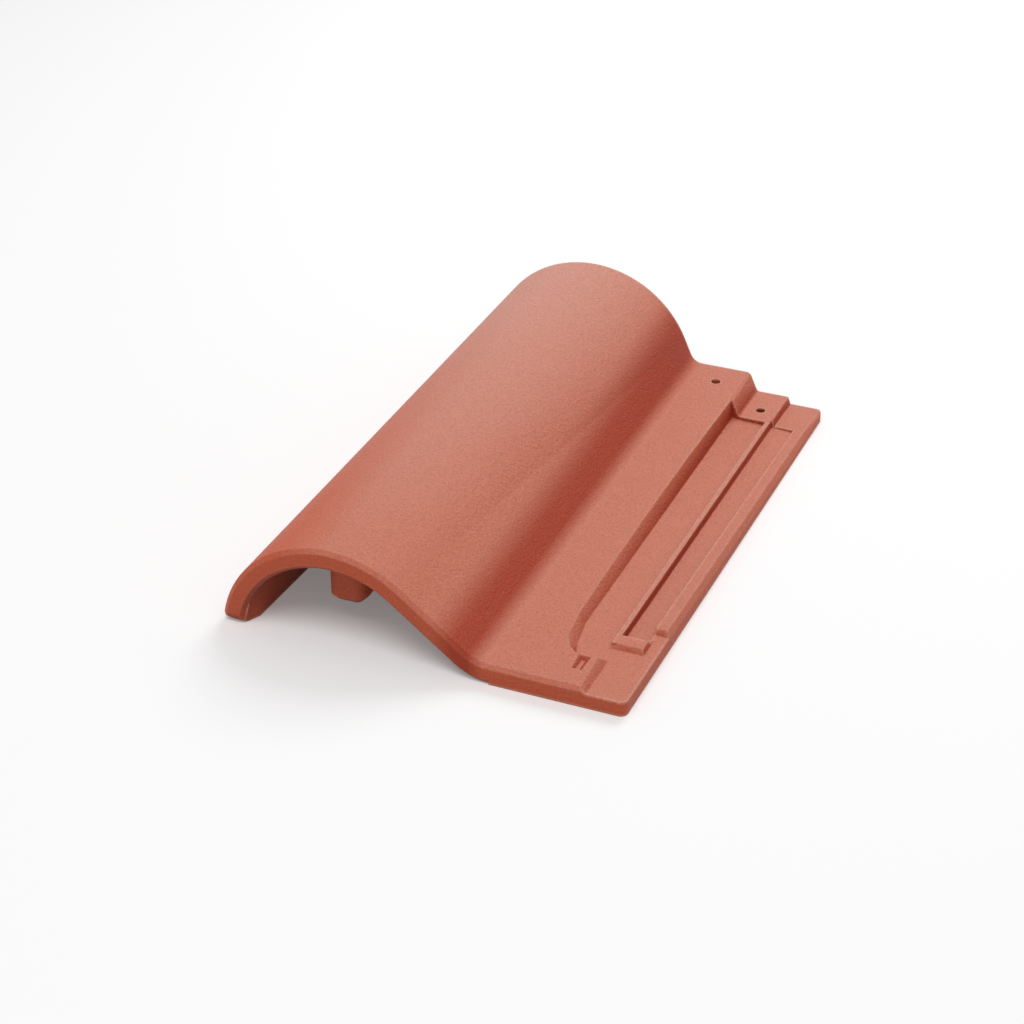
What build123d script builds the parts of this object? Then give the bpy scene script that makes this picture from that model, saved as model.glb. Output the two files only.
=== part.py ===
"""Interlocking roll and pan roof tile, one piece of fired clay.

Millimetres, +Z up.  X runs across the tile, from the free edge of the roll to the lock edge.
Y runs along the tile, from the eave end to the head end.  The origin is the middle of the
tile's footprint, on the floor that it lies on.
"""
import os
from math import cos, radians, sin, sqrt, tan
from typing import NamedTuple

from build123d import *

# overall sizes
length = 420.0
width_eave = 283.1
width_head = 268.7
thickness = 14.4

# roll, at the eave end and at the head end
roll_height_eave = 70.9
roll_height_head = 95.0
roll_radius_eave = 81.4
roll_radius_head = 82.4
flank_angle_eave = 37.5
flank_angle_head = 66.0
valley_radius_eave = 26.0
valley_radius_head = 10.0

# foot of the roll
foot_width = 19.8
foot_relief = 14.0
foot_bevel_width = 9.0
foot_bevel_height = 5.5
toe_round = 6.5

# heights of the top surfaces over the floor
pan_height_eave = 13.9
pan_height_head = 27.8
shelf_height = 13.3
rim_height_eave = 15.3
rim_height_head = 7.7
flange_height = 10.5

# the lock, measured in from the lock edge
shelf_width = 51.7
shelf_slope_run = 6.6
lock_lap = 2.0
rim_step_width = 25.1
rim_step_run = 2.0
rib_inner = 31.2
rib_width = 3.4
rib_wall_run = 0.8
rim_width = 10.4
rim_bevel_width = 2.4
rim_bevel_height = 5.0

# inner water channel
wall_base_eave = 55.9
wall_base_head = 57.0
wall_lean_eave = 43.0
wall_lean_head = 5.0
ledge_width = 5.0
ledge_drop = 0.5
inner_floor_eave = 10.8
inner_floor_head = 11.6
inner_floor_fall_eave = 0.8
inner_floor_fall_head = 1.3
inner_channel_front = 75.0
mouth_front = 35.0
mouth_drop = 0.1
mouth_fall = 0.2
mouth_base_near = 47.5
mouth_lean_near = 45.0
mouth_base_middle = 48.3
mouth_bend = 50.0
mouth_base_far = 52.0
mouth_lean_far = 52.0
inner_channel_head_margin = 44.6

# outer water channel
outer_floor_height = 7.8
outer_floor_fall = 0.9
outer_channel_head_margin = 41.0

# eave end of the lock
nose_length = 35.5
nose_back_run = 4.0
nose_step_width = 32.2
nose_step_run = 5.5
bar_front = 57.0
bar_back = 67.0
bar_front_run = 3.4
bar_side = 10.0
bar_side_run = 2.0
bar_corner_width = 5.5
bar_corner_length = 9.0
bar_tail = 6.0
rim_end = 82.5
rim_end_run = 3.5
pocket_length = 16.0
pocket_width = 8.6
pocket_depth = 2.4
pocket_draft = 52.0
pocket_from_eave = 18.0
pocket_from_step = 3.8

# nail holes
nail_hole_diameter = 7.0
pan_hole_from_edge = 77.9
pan_hole_from_head = 22.8
shelf_hole_from_edge = 39.9
shelf_hole_from_head = 28.8

# lug under the roll
lug_width = 26.0
lug_depth = 22.0
lug_from_eave = 21.5
lug_floor_gap = 20.0
lug_corner_round = 8.0
lug_bottom_bevel = 4.0

# edge treatment
eave_band = 4.0
eave_bevel = 2.6
hollow_bevel = 2.4
corner_round = 5.0
shelf_edge_bevel = 1.8
shelf_base_round = 3.0
side_round = 1.5

# flat part of the underside of the pan, measured in from the lock edge
underside_from = 105.0
underside_to = 66.0

# how far cutting shapes run on past the clay, and how near an edge is looked for
reach = 60.0
below = 8.0
under = 16.0
wall_reach = 28.0
bevel_past = 0.24
nearby = 1.0
slack = 0.1
half_right = radians(45)

edge_x = width_eave / 2
eave_y = -length / 2
pan_rise = pan_height_head - pan_height_eave
nose_back = nose_length + nose_back_run
slope_front = length - inner_channel_head_margin - shelf_slope_run


def across(from_edge):
    """X of a point a given distance in from the lock edge."""
    return edge_x - from_edge


def along(from_eave):
    """Y of a point a given distance from the eave end."""
    return eave_y + from_eave


def upright(from_eave):
    """Plane across the tile, with its own x along X and its own y along Z."""
    return Plane(origin=(0, along(from_eave), 0), x_dir=(1, 0, 0), z_dir=(0, -1, 0))


def lengthways(from_edge):
    """Plane along the tile, with its own x along Y and its own y along Z."""
    return Plane(origin=(across(from_edge), 0, 0), x_dir=(0, 1, 0), z_dir=(1, 0, 0))


def pan_top(from_eave):
    """Height of the pan, which rises from the straight band at the eave towards the head."""
    return pan_height_eave + pan_rise * max(from_eave - eave_band, 0) / (length - eave_band)


def rim_top(from_eave):
    """Height of the rim, which falls towards the head."""
    return rim_height_eave + (rim_height_head - rim_height_eave) * from_eave / length


class End(NamedTuple):
    """Cross-section of the roll and the pan at one end of the tile."""
    station: float
    width: float
    height: float
    radius: float
    flank: float
    valley: float
    pan: float

    def centre(self):
        """Centre of the roll's arc, which is widest over the bevel of its foot."""
        centre_z = self.height - self.radius
        return across(self.width) + sqrt(self.radius ** 2 - (foot_bevel_height - centre_z) ** 2), centre_z

    def floor_point(self, inset):
        """Point where the arc, inset into the clay, comes down to the floor."""
        return self.arc_point(inset, 0.0)

    def arc_point(self, inset, z):
        """Point of the arc, inset into the clay, at a height on its free side."""
        centre_x, centre_z = self.centre()
        return centre_x - sqrt((self.radius - inset) ** 2 - (z - centre_z) ** 2), z

    def foot_top(self):
        """Point where the inside of the foot runs up into the hollow."""
        centre_x, centre_z = self.centre()
        x = across(self.width) + foot_width
        return x, centre_z + sqrt((self.radius - thickness) ** 2 - (centre_x - x) ** 2)

    def outline(self, inset):
        """Crown, flank start, flank end, middle of the valley arc and its foot, inset into the clay."""
        centre_x, centre_z = self.centre()
        lean = radians(self.flank)
        outer_start = (centre_x + self.radius * sin(lean), centre_z + self.radius * cos(lean))
        crossing = outer_start[0] + (outer_start[1] - self.pan) / tan(lean)
        valley_x = crossing + self.valley * tan(lean / 2)
        valley_z = self.pan + self.valley
        radius = self.radius - inset
        bend = self.valley + inset
        crown = (centre_x - radius * cos(half_right), centre_z + radius * sin(half_right))
        flank_start = (centre_x + radius * sin(lean), centre_z + radius * cos(lean))
        flank_end = (valley_x - bend * sin(lean), valley_z - bend * cos(lean))
        middle = (valley_x - bend * sin(lean / 2), valley_z - bend * cos(lean / 2))
        return crown, flank_start, flank_end, middle, (valley_x, valley_z - bend)

    def at(self, other, station):
        """Cross-section at a station between this end and the other."""
        share = (station - self.station) / (other.station - self.station)
        return End(*(here + (there - here) * share for here, there in zip(self, other)))


ends = (
    End(0.0, width_eave, roll_height_eave, roll_radius_eave, flank_angle_eave, valley_radius_eave,
        pan_height_eave),
    End(length, width_head, roll_height_head, roll_radius_head, flank_angle_head, valley_radius_head,
        pan_height_head),
)
band_end = ends[0]._replace(station=eave_band)

with BuildPart() as tile:
    # roll and pan: a straight band along the eave, then one loft to the head end
    for end in (band_end, ends[1]):
        with BuildSketch(upright(end.station)) as section:
            with BuildLine():
                foot = end.floor_point(0)
                crown, flank_start, flank_end, middle, valley_foot = end.outline(0)
                ThreePointArc(foot, crown, flank_start)
                Line(flank_start, flank_end)
                ThreePointArc(flank_end, middle, valley_foot)
                Polyline(
                    valley_foot,
                    (across(mouth_base_near), end.pan),
                    (across(mouth_base_near), -below),
                    (foot[0], -below),
                    foot,
                )
            make_face()
        if end is band_end:
            band = section.sketch
    loft(ruled=True)
    extrude(band, amount=eave_band)

    # flange of the lock, low along the eave, and the nose that the pan ends in there
    with BuildSketch(lengthways(shelf_width + lock_lap)):
        with BuildLine():
            Polyline(
                (along(0), -below),
                (along(0), flange_height),
                (along(rim_end), flange_height),
                (along(rim_end), -below),
                close=True,
            )
        make_face()
    extrude(amount=shelf_width + lock_lap)
    with BuildSketch(lengthways(shelf_width + lock_lap)):
        with BuildLine():
            Polyline(
                (along(0), 0),
                (along(0), pan_height_eave),
                (along(eave_band), pan_height_eave),
                (along(nose_length), pan_top(nose_length)),
                (along(nose_back), flange_height),
                (along(nose_back), 0),
                close=True,
            )
        make_face()
    extrude(amount=shelf_width + lock_lap - nose_step_width + nose_step_run)
    with BuildSketch(upright(0)):
        with BuildLine():
            Polyline(
                (across(nose_step_width - nose_step_run), flange_height),
                (across(nose_step_width), pan_top(nose_length)),
                (across(nose_step_width), reach),
                (across(0), reach),
                (across(0), flange_height),
                close=True,
            )
        make_face()
    extrude(amount=-nose_back, mode=Mode.SUBTRACT)

    # shelf, with the step down to the rim, and the slope down to it from the pan
    with BuildSketch(upright(bar_front)) as shelf:
        with BuildLine():
            Polyline(
                (across(shelf_width + lock_lap), -below),
                (across(shelf_width + lock_lap), shelf_height),
                (across(rim_step_width + rim_step_run), shelf_height),
                (across(rim_step_width), rim_height_head),
                (across(rim_step_width), -below),
                close=True,
            )
        make_face()
        fillet(shelf.vertices().sort_by_distance((across(rim_step_width + rim_step_run), shelf_height))[0],
               side_round)
    extrude(amount=bar_front - length)
    with BuildSketch(upright(slope_front)) as slope:
        with BuildLine():
            Polyline(
                (across(shelf_width + shelf_slope_run), pan_height_head),
                (across(shelf_width), shelf_height),
                (across(rib_inner), shelf_height),
                (across(rib_inner), reach),
                (across(shelf_width + shelf_slope_run), reach),
                close=True,
            )
        make_face()
        fillet(slope.vertices().sort_by_distance((across(shelf_width), shelf_height))[0],
               shelf_base_round)
    extrude(amount=slope_front - length, mode=Mode.SUBTRACT)
    slope_top = tile.edges().filter_by(
        lambda edge: edge.center().Y > along(slope_front) and edge.center().Z > shelf_height + nearby
        and abs(edge.tangent_at(0.5).Y) > cos(half_right)
        and across(shelf_width + shelf_slope_run) - nearby < edge.center().X < across(shelf_width))
    chamfer(slope_top, shelf_edge_bevel)

    # rim, from its sloped end wall to the head
    with BuildSketch(lengthways(rim_step_width)):
        with BuildLine():
            Polyline(
                (along(rim_end - rim_end_run), -below),
                (along(rim_end - rim_end_run), flange_height),
                (along(rim_end), rim_top(rim_end)),
                (along(length), rim_height_head),
                (along(length), -below),
                close=True,
            )
        make_face()
    extrude(amount=rim_step_width)

    # rounded corners of the lock edge, at the eave and at the head
    fillet(tile.edges().filter_by(Axis.Z).filter_by_position(Axis.X, across(slack), across(-slack)),
           corner_round)

    # cross bar that closes the outer channel, with its sloped front and side and its cut corner
    with BuildSketch(Plane.XY.offset(flange_height)):
        with BuildLine():
            Polyline(
                (across(rib_inner), along(bar_back)),
                (across(rib_inner), along(bar_front - bar_front_run + slack)),
                (across(rib_inner - slack), along(bar_front - bar_front_run)),
                (across(bar_side - bar_side_run), along(bar_front - bar_front_run)),
                (across(bar_side - bar_side_run), along(bar_back + bar_tail)),
                (across(bar_side), along(bar_back + bar_tail)),
                close=True,
            )
        make_face()
    with BuildSketch(Plane.XY.offset(shelf_height)):
        with BuildLine():
            Polyline(
                (across(rib_inner), along(bar_back)),
                (across(rib_inner), along(bar_front + bar_corner_length)),
                (across(rib_inner - bar_corner_width), along(bar_front)),
                (across(bar_side), along(bar_front)),
                (across(bar_side), along(bar_back - slack)),
                (across(bar_side + slack), along(bar_back)),
                close=True,
            )
        make_face()
    loft(ruled=True)

    # bevelled arris along the eave, over the roll, the pan and the nose
    arris = tile.edges().filter_by_position(Axis.Y, along(-slack), along(slack)).filter_by(
        lambda edge: edge.center().Z > flange_height and edge.center().X < across(nose_step_width))
    chamfer(arris, eave_bevel)

    # inner channel: its mouth curves in behind the nose, then a sloped wall on the pan side, a
    # narrow ledge and a floor that falls to the rib run towards the head
    for station, base, lean, floor, drop, fall in (
        (mouth_front, mouth_base_near, mouth_lean_near, pan_top(mouth_front) + mouth_fall, mouth_drop,
         mouth_fall),
        (nose_back, mouth_base_middle, mouth_lean_near, flange_height, mouth_drop, mouth_fall),
        (mouth_bend, mouth_base_far, mouth_lean_far, flange_height, mouth_drop, mouth_fall),
        (inner_channel_front, wall_base_eave, wall_lean_eave, inner_floor_eave, ledge_drop,
         inner_floor_fall_eave),
        (length - inner_channel_head_margin, wall_base_head, wall_lean_head, inner_floor_head,
         ledge_drop, inner_floor_fall_head),
    ):
        with BuildSketch(upright(station)):
            with BuildLine():
                Polyline(
                    (across(base + wall_reach * tan(radians(lean))), floor + wall_reach),
                    (across(base), floor),
                    (across(base - ledge_width), floor - drop),
                    (across(rib_inner), floor - fall),
                    (across(rib_inner), floor + wall_reach),
                    close=True,
                )
            make_face()
    loft(ruled=True, mode=Mode.SUBTRACT)

    # outer channel, between the rib and the rim
    outer_left = rib_inner - rib_width
    with BuildSketch(upright(bar_back)):
        with BuildLine():
            Polyline(
                (across(outer_left), shelf_height),
                (across(outer_left - rib_wall_run), outer_floor_height),
                (across(rim_width), outer_floor_height - outer_floor_fall),
                (across(rim_width), reach),
                (across(outer_left), reach),
                close=True,
            )
        make_face()
    extrude(amount=bar_back + outer_channel_head_margin - length, mode=Mode.SUBTRACT)

    # bevel along the outside of the rim
    for station, bevel, drop in (
        (rim_end - rim_end_run, rim_bevel_width, rim_bevel_height),
        (length - outer_channel_head_margin, rim_bevel_width, rim_bevel_height),
        (length - outer_channel_head_margin / 2, side_round, side_round),
        (length, side_round, side_round),
    ):
        with BuildSketch(upright(station)):
            with BuildLine():
                Polyline(
                    (across(bevel), rim_top(station)),
                    (across(0), rim_top(station) - drop),
                    (across(-below), rim_top(station) - drop),
                    (across(-below), reach),
                    (across(bevel), reach),
                    close=True,
                )
            make_face()
    loft(ruled=True, mode=Mode.SUBTRACT)

    # pocket in the nose, with sloped walls
    with BuildSketch(Plane.XY.offset(pan_top(pocket_from_eave + pocket_length))):
        with Locations((across(nose_step_width + pocket_from_step + pocket_width / 2),
                        along(pocket_from_eave + pocket_length / 2))):
            Rectangle(pocket_width, pocket_length)
    extrude(amount=-pocket_depth, taper=pocket_draft, mode=Mode.SUBTRACT)

    # hollow under the roll, with the foot that stands inside it and thins out at the eave
    for end in (ends[0], ends[0].at(ends[1], foot_relief), ends[1]):
        with BuildSketch(upright(end.station)):
            with BuildLine():
                top = end.foot_top()
                base = end.floor_point(thickness) if end is ends[0] else (top[0], 0.0)
                crown, flank_start, flank_end, middle, valley_foot = end.outline(thickness)
                Line(base, top)
                ThreePointArc(top, crown, flank_start)
                Line(flank_start, flank_end)
                ThreePointArc(flank_end, middle, valley_foot)
                Polyline(valley_foot, (valley_foot[0], -under), (base[0], -under), base)
            make_face()
    loft(ruled=True, mode=Mode.SUBTRACT)

    # underside of the pan, which rises towards the head
    with BuildSketch(lengthways(underside_from)):
        with BuildLine():
            Polyline(
                (along(0), pan_top(0) - thickness),
                (along(length), pan_top(length) - thickness),
                (along(length), -under),
                (along(0), -under),
                close=True,
            )
        make_face()
    extrude(amount=underside_from - underside_to, mode=Mode.SUBTRACT)

    # flat underside, on the floor
    with BuildSketch(Plane.XY):
        Rectangle(2 * width_eave, 2 * length)
    extrude(amount=-under, mode=Mode.SUBTRACT)

    # bevel along the outside of the foot
    for end in ends:
        with BuildSketch(upright(end.station)):
            with BuildLine():
                Polyline(
                    (across(end.width), foot_bevel_height),
                    (across(end.width - foot_bevel_width), 0),
                    (across(end.width - foot_bevel_width), -below),
                    (across(end.width + below), -below),
                    (across(end.width + below), foot_bevel_height),
                    close=True,
                )
            make_face()
    loft(ruled=True, mode=Mode.SUBTRACT)

    # rounded toe of the foot
    with BuildSketch(lengthways(width_eave + below)):
        with BuildLine():
            ThreePointArc(
                (along(0), toe_round),
                (along(toe_round * (1 - cos(half_right))), toe_round * (1 - sin(half_right))),
                (along(toe_round), 0),
            )
            Polyline(
                (along(toe_round), 0),
                (along(toe_round), -below),
                (along(-below), -below),
                (along(-below), toe_round),
                (along(0), toe_round),
            )
        make_face()
    extrude(amount=foot_width + under, mode=Mode.SUBTRACT)

    # bevel around the mouth of the hollow
    for station, inset in (
        (0, thickness - hollow_bevel),
        (hollow_bevel + bevel_past, thickness + bevel_past),
    ):
        section = ends[0].at(ends[1], station)
        with BuildSketch(upright(station)):
            with BuildLine():
                foot = section.floor_point(inset)
                crown, flank_start, flank_end, middle, valley_foot = section.outline(inset)
                ThreePointArc(foot, crown, flank_start)
                Line(flank_start, flank_end)
                ThreePointArc(flank_end, middle, valley_foot)
                Polyline(
                    valley_foot,
                    (valley_foot[0], -under),
                    (foot[0], -under),
                    foot,
                )
            make_face()
    loft(ruled=True, mode=Mode.SUBTRACT)

    # lug under the crown of the roll, bevelled around its bottom
    with BuildPart() as lug:
        with BuildSketch(Plane.XY.offset(lug_floor_gap)):
            with Locations((ends[0].centre()[0], along(lug_from_eave + lug_depth / 2))):
                RectangleRounded(lug_width, lug_depth, lug_corner_round)
        extrude(amount=roll_height_eave - thickness / 2 - lug_floor_gap)
        chamfer(lug.faces().sort_by(Axis.Z)[0].edges(), lug_bottom_bevel)

    # nail holes
    with BuildSketch(Plane.XY):
        with Locations(
            (across(pan_hole_from_edge), along(length - pan_hole_from_head)),
            (across(shelf_hole_from_edge), along(length - shelf_hole_from_head)),
        ):
            Circle(nail_hole_diameter / 2)
    extrude(amount=reach, mode=Mode.SUBTRACT)

tile.part.label = "tile"
os.makedirs("parts", exist_ok=True)
export_step(tile.part, "parts/tile.step")
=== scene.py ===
import math

import bpy
import numpy as np
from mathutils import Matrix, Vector


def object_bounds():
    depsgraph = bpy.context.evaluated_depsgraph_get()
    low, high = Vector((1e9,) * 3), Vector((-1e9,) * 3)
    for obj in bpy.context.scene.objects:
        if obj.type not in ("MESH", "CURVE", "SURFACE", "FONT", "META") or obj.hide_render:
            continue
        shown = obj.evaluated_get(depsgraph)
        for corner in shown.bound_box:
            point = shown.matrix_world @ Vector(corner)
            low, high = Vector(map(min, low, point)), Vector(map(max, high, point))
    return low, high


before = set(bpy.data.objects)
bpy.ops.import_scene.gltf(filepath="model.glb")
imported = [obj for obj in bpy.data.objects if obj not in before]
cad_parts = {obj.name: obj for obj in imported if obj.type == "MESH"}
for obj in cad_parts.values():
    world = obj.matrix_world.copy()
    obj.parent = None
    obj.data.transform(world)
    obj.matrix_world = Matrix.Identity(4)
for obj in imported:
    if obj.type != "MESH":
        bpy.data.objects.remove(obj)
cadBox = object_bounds()
print("frame loaded")

white = (1, 1, 1, 1)


# a socket as a number, so that shader maths is written as plain expressions
class Sock:
    def __init__(self, tree, out):
        self.tree, self.out = tree, out

    def maths(self, kind, a, b):
        node = self.tree.nodes.new("ShaderNodeMath")
        node.operation = kind
        for slot, value in zip(node.inputs, (a, b)):
            if isinstance(value, Sock):
                self.tree.links.new(value.out, slot)
            else:
                slot.default_value = value
        return Sock(self.tree, node.outputs[0])

    def __add__(self, o): return self.maths("ADD", self, o)
    def __radd__(self, o): return self.maths("ADD", o, self)
    def __sub__(self, o): return self.maths("SUBTRACT", self, o)
    def __rsub__(self, o): return self.maths("SUBTRACT", o, self)
    def __mul__(self, o): return self.maths("MULTIPLY", self, o)
    def __rmul__(self, o): return self.maths("MULTIPLY", o, self)
    def __truediv__(self, o): return self.maths("DIVIDE", self, o)
    def __rtruediv__(self, o): return self.maths("DIVIDE", o, self)

    def clip(self, low=0, high=1):
        return self.maths("MINIMUM", self.maths("MAXIMUM", self, low), high)


# 0 at the first value, 1 at the second, straight between them
def ramp(sock, ends):
    return ((sock - ends[0]) / (ends[1] - ends[0])).clip()


# a share from 0 to 1, eased at both ends: s * s * (3 - 2 s)
def ease(share):
    return share * share * (3 - share * 2)


class Look:
    def __init__(self, name):
        self.mat = bpy.data.materials.new(name)
        self.mat.use_nodes = True
        self.tree = self.mat.node_tree
        self.shader = self.tree.nodes["Principled BSDF"]

    # any node: settings first, then its sockets by name, or by place as i0, and one output back
    def node(self, kind, settings=None, out=0, **sockets):
        made = self.tree.nodes.new("ShaderNode" + kind)
        for key, value in (settings or {}).items():
            setattr(made, key, value)
        for key, value in sockets.items():
            slot = made.inputs[int(key[1:]) if key[1:].isdigit() else key]
            if isinstance(value, Sock):
                self.tree.links.new(value.out, slot)
            else:
                slot.default_value = value
        return Sock(self.tree, made.outputs[out])

    def mix(self, share, a, b, blend="MIX"):
        return self.node("Mix", {"data_type": "RGBA", "blend_type": blend}, out=2, i0=share, i6=a, i7=b)

    def feed(self, name, value):
        if isinstance(value, Sock):
            self.tree.links.new(value.out, self.shader.inputs[name])
        else:
            self.shader.inputs[name].default_value = value


# 1 for a ray that meets the backdrop straight, in a gloss or through glass, 0 for other rays
def lookedAt(tree):
    path = tree.nodes.new("ShaderNodeLightPath")
    straight, glossed, through = (Sock(tree, path.outputs["Is " + kind + " Ray"])
                                  for kind in ("Camera", "Glossy", "Transmission"))
    return (straight + glossed + through).clip()


# lengths in metres; a pair is where a ramp starts and where it is full
clay = {
    "fired": (0.56, 0.096, 0.034, 1),        # bare saturated clay on steep faces
    "paintedSheen": (0.575, 0.186, 0.118, 1),       # painted sheen: paler colour on what faces up
    "broad": {"Scale": 11.0, "Detail": 4.0, "Roughness": 0.55},     # noise of the mottle
    "fine": {"Scale": 500.0, "Detail": 3.0, "Roughness": 0.6},      # noise of the grain
    "speck": {"Scale": 1100.0, "Detail": 2.0, "Roughness": 0.5},    # noise of the finest grain
    "mottle": (0.5, 0.35),                   # how much broad and fine noise shifts the painted sheen

    "headSheen": (0.685, 0.335, 0.262, 1),       # painted sheen, paler still, on the roll towards the head
    "headSheenLength": (-0.19, 0.21),            # ramp along Y
    "headSheenSide": (0.03, -0.07),              # ramp across X
    "headSheenShare": 0.75, "headSheenTilt": 0.5,    # its most, and how much of that a steep face loses

    "nearShadeSide": (-0.065, -0.1),              # painted shade: bare saturated clay low on the roll's free side, across X
    "nearShadeLength": (0.13, -0.2),              # and towards the eave, along Y

    "deepShade": (0.375, 0.036, 0.007, 1),        # painted shade in the valley and on sheltered walls
    "valleyRise": (0.006, 0.027),            # strip of painted shade in the valley, starting and full, across X
    "valleyFall": (0.044, 0.034),            # and its end on the pan
    "lockSide": (0.065, 0.067),              # the lock lies past this X
    "steep": (0.04, 0.22),                   # tilt of a wall that gets painted shade
    "crevice": 0.014, "creviceShade": 5.5,           # reach of the shelter that gets painted shade, and how much
    "deepShadeMottle": 0.2,

    "under": (0.20, 0.020, 0.005, 1),        # painted shade: darker clay on faces that look down
    "underTurn": (0.1, -0.3), "underShare": 0.7,

    "arrisHighlight": (0.80, 0.42, 0.31, 1),           # painted highlight: thin light line along arrises
    "arrisHighlightEdge": (0.10, 0.42),                # how much a short ray into the clay meets the air
    "arrisHighlightReach": 0.0026, "arrisHighlightGrain": 0.3, "arrisHighlightShare": 0.6,

    "speckle": (0.55, 0.44),                 # how much fine and finest grain shift the colour
    "softEdge": 0.0013,                      # radius that edges look rounded by
    "relief": (0.65, 0.35), "grain": 0.0022, "bump": 0.8,
    "roughness": 0.55, "roughGrain": 0.3, "specular": 0.34,
    "edgeSamples": 6, "creviceSamples": 10, "arrisHighlightSamples": 8,
}


# colour: fired clay, with painted sheen by how far a face looks up and by mottle; more painted sheen
# over the roll's far part; painted shade (fired again) low at its near side, in the valley's strip, in the
# lock where a wall is steep and sheltered, and where a face looks down; painted highlight along arrises;
# then times grain.
# relief: fine and finest noise over a normal that rounds the edges
def clayLook(name, u):
    look = Look(name)
    place = look.node("TexCoord", out="Object")
    broad, fine, speck = (look.node("TexNoise", Vector=place, **u[size]) - 0.5
                          for size in ("broad", "fine", "speck"))
    soft = look.node("Bevel", {"samples": u["edgeSamples"]}, Radius=u["softEdge"])
    upward = look.node("SeparateXYZ", out="Z", Vector=soft)
    x = look.node("SeparateXYZ", out="X", Vector=place)
    y = look.node("SeparateXYZ", out="Y", Vector=place)
    openness = look.node("AmbientOcclusion", {"samples": u["creviceSamples"], "only_local": True}, out="AO",
                         Distance=u["crevice"])
    inside = look.node("AmbientOcclusion", {"samples": u["arrisHighlightSamples"], "inside": True, "only_local": True},
                       out="AO", Distance=u["arrisHighlightReach"])

    tilt = 1 - upward
    mottle = broad * u["mottle"][0] + fine * u["mottle"][1]
    # painted sheen: the more a face looks up, the paler it is made, shifted by mottle
    shade = look.mix((1 - tilt + mottle).clip(), u["fired"], u["paintedSheen"])
    # painted sheen over the roll's far part, with less of it on steep faces
    headSheen = ramp(y, u["headSheenLength"]) * ramp(x, u["headSheenSide"]) * u["headSheenShare"]
    shade = look.mix((headSheen * (1 - tilt * u["headSheenTilt"])).clip(), shade, u["headSheen"])
    # painted shade: the fired colour again, low on the roll's free side towards the eave
    shade = look.mix(ramp(x, u["nearShadeSide"]) * ramp(y, u["nearShadeLength"]), shade, u["fired"])
    # painted shade: a strip along the valley between roll and pan
    valley = ease(ramp(x, u["valleyRise"])) * ramp(x, u["valleyFall"])
    # painted shade on steep walls of the lock, darker the less open they are
    creviceShade = ramp(x, u["lockSide"]) * ramp(tilt, u["steep"]) * (1 - openness) * u["creviceShade"]
    # painted shade mixed in over the valley strip and the lock's sheltered walls
    shade = look.mix((valley + creviceShade + mottle * u["deepShadeMottle"]).clip(), shade, u["deepShade"])
    # painted shade on faces that look down
    shade = look.mix(ramp(upward, u["underTurn"]) * u["underShare"], shade, u["under"])
    # painted highlight along convex arrises, broken by grain
    arrisHighlight = ramp(1 - inside, u["arrisHighlightEdge"]) * (fine + 0.5 + u["arrisHighlightGrain"]).clip() * u["arrisHighlightShare"]
    shade = look.mix(arrisHighlight, shade, u["arrisHighlight"])
    shade = look.mix(1, shade, 1 + fine * u["speckle"][0] + speck * u["speckle"][1], "MULTIPLY")
    relief = fine * u["relief"][0] + speck * u["relief"][1]
    bumped = look.node("Bump", Strength=u["bump"], Distance=u["grain"], Height=relief, Normal=soft)

    look.feed("Base Color", shade)
    look.feed("Roughness", u["roughness"] + fine * u["roughGrain"])
    look.feed("Specular IOR Level", u["specular"])
    look.feed("Normal", bumped)
    return look.mat


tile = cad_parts["tile"]
clayMat = clayLook("clay", clay)
for slot in tile.material_slots:
    slot.material = clayMat
print("clay")

# floor, far larger than the view: a ray that looks at it sees it lifted towards white, wholly so
# far from the tile, and still sees the tile's shadow
stage = {
    "size": 14.0, "drop": 0.0003,            # width in metres, and how far it lies under the tile
    "tint": (0.80, 0.80, 0.80, 1),           # what lights the tile from below
    "lift": 0.16, "fade": (1.3, 3.2),        # share of plain white, and the ramp to all of it
}
half = stage["size"] / 2
corners = np.array([[-half, -half], [half, -half], [half, half], [-half, half]])
level = np.full(len(corners), cadBox[0][2] - stage["drop"])
floorMesh = bpy.data.meshes.new("floor")
floorMesh.from_pydata(np.column_stack([corners, level]).tolist(), [], [(0, 1, 2, 3)])
floor = bpy.data.objects.new("floor", floorMesh)
bpy.context.collection.objects.link(floor)
floorLook = Look("floor")
floorLook.feed("Base Color", stage["tint"])
floorLook.feed("Roughness", 1.0)
floorLook.feed("Specular IOR Level", 0.0)
bare = Sock(floorLook.tree, floorLook.shader.outputs[0])
pale = floorLook.node("BsdfDiffuse", Color=white)
glow = floorLook.node("Emission", Color=white, Strength=1.0)
place = floorLook.node("TexCoord", out="Object")
away = floorLook.node("VectorMath", {"operation": "LENGTH"}, out="Value", i0=place)
lift = stage["lift"] + ramp(away, stage["fade"]) * (1 - stage["lift"])
seen = floorLook.node("MixShader", i0=lift, i1=pale, i2=glow)
whole = floorLook.node("MixShader", i0=lookedAt(floorLook.tree), i1=bare, i2=seen)
floorLook.tree.links.new(whole.out, floorLook.tree.nodes["Material Output"].inputs["Surface"])
floorMesh.materials.append(floorLook.mat)

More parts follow.
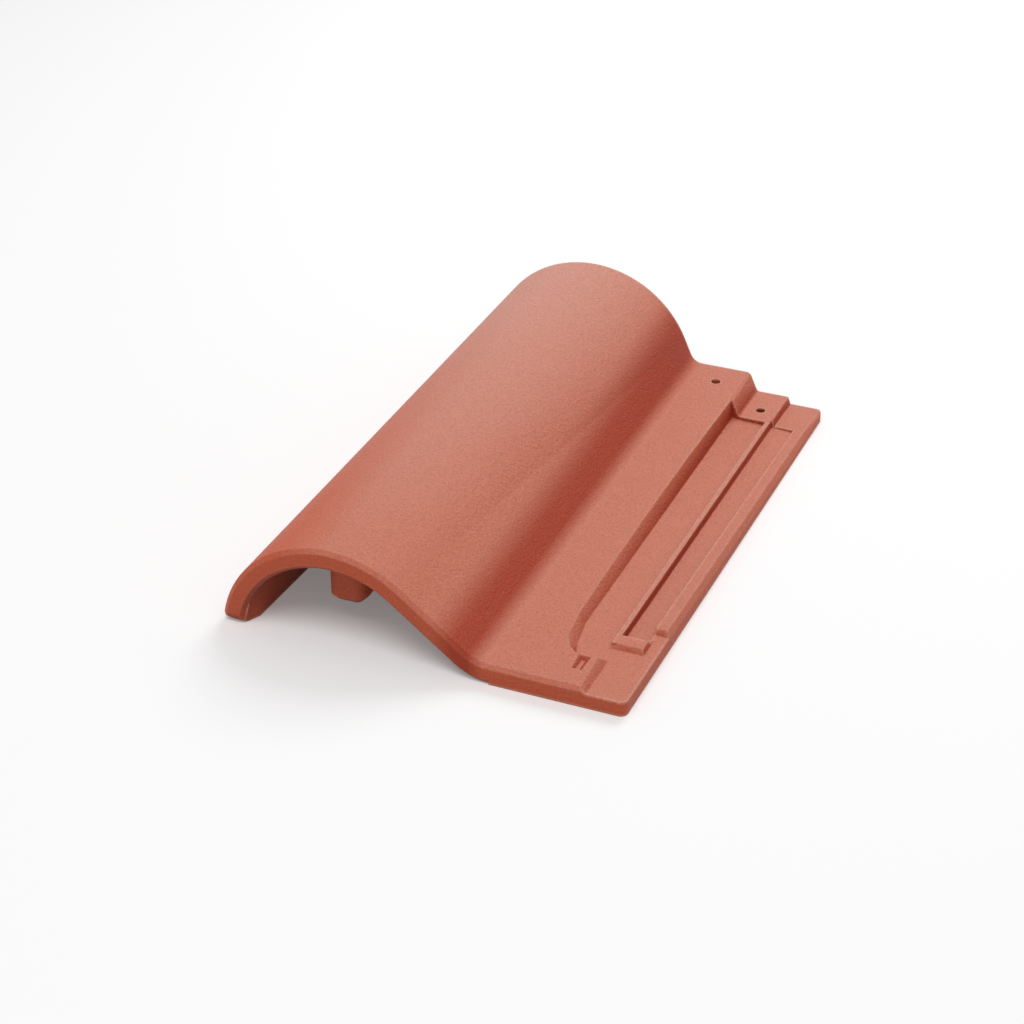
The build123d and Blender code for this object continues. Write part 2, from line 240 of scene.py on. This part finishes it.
# sky: what it lights with, and what it shows
studio = {"light": 0.4, "shown": 1.0}
world = bpy.data.worlds.new("studio")
bpy.context.scene.world = world
world.use_nodes = True
sky = world.node_tree.nodes["Background"].inputs
sky["Color"].default_value = white
strength = lookedAt(world.node_tree) * (studio["shown"] - studio["light"]) + studio["light"]
world.node_tree.links.new(strength.out, sky["Strength"])

bpy.context.scene.view_settings.view_transform = "Standard"

# round softboxes aimed at the origin: turn in degrees from the head end towards the lock, rise in
# degrees from the floor, distance and size in metres, power in watts
lamps = {
    "back": {"turn": 6, "rise": 46, "away": 2.2, "size": 1.3, "power": 17.5},
    "front": {"turn": 172, "rise": 64, "away": 4.0, "size": 2.2, "power": 66},
}


def lamp(name, u):
    turn, rise = math.radians(u["turn"]), math.radians(u["rise"])
    towards = Vector((math.sin(turn) * math.cos(rise), math.cos(turn) * math.cos(rise), math.sin(rise)))
    data = bpy.data.lights.new(name, "AREA")
    data.shape = "DISK"
    data.size, data.energy = u["size"], u["power"]
    made = bpy.data.objects.new(name, data)
    bpy.context.collection.objects.link(made)
    made.location = towards * u["away"]
    made.rotation_mode = "QUATERNION"
    made.rotation_quaternion = (-towards).to_track_quat("-Z", "Y")


for name, u in lamps.items():
    lamp(name, u)
print("stage and lights")

# camera from the photograph's perspective: degrees, metres, the focal length and the picture's
# width in pixels, and the sensor's width in millimetres
shot = {
    "azimuth": 23.0128, "elevation": 30.8316, "distance": 1.7179,
    "target": (-0.02049, -0.00807, 0.0),
    "focal": 2426, "picture": 1024, "sensor": 36,
    "clip": (0.05, 50),
}
az, el = math.radians(shot["azimuth"]), math.radians(shot["elevation"])
back = np.array([math.sin(az) * math.cos(el), -math.cos(az) * math.cos(el), math.sin(el)])
camData = bpy.data.cameras.new("camera")
camera = bpy.data.objects.new("camera", camData)
bpy.context.collection.objects.link(camera)
camera.location = np.array(shot["target"]) + back * shot["distance"]
camera.rotation_euler = (math.pi / 2 - el, 0, az)
camData.sensor_width = shot["sensor"]
camData.lens = shot["focal"] / shot["picture"] * shot["sensor"]
camData.clip_start, camData.clip_end = shot["clip"]
bpy.context.scene.camera = camera
print("camera")
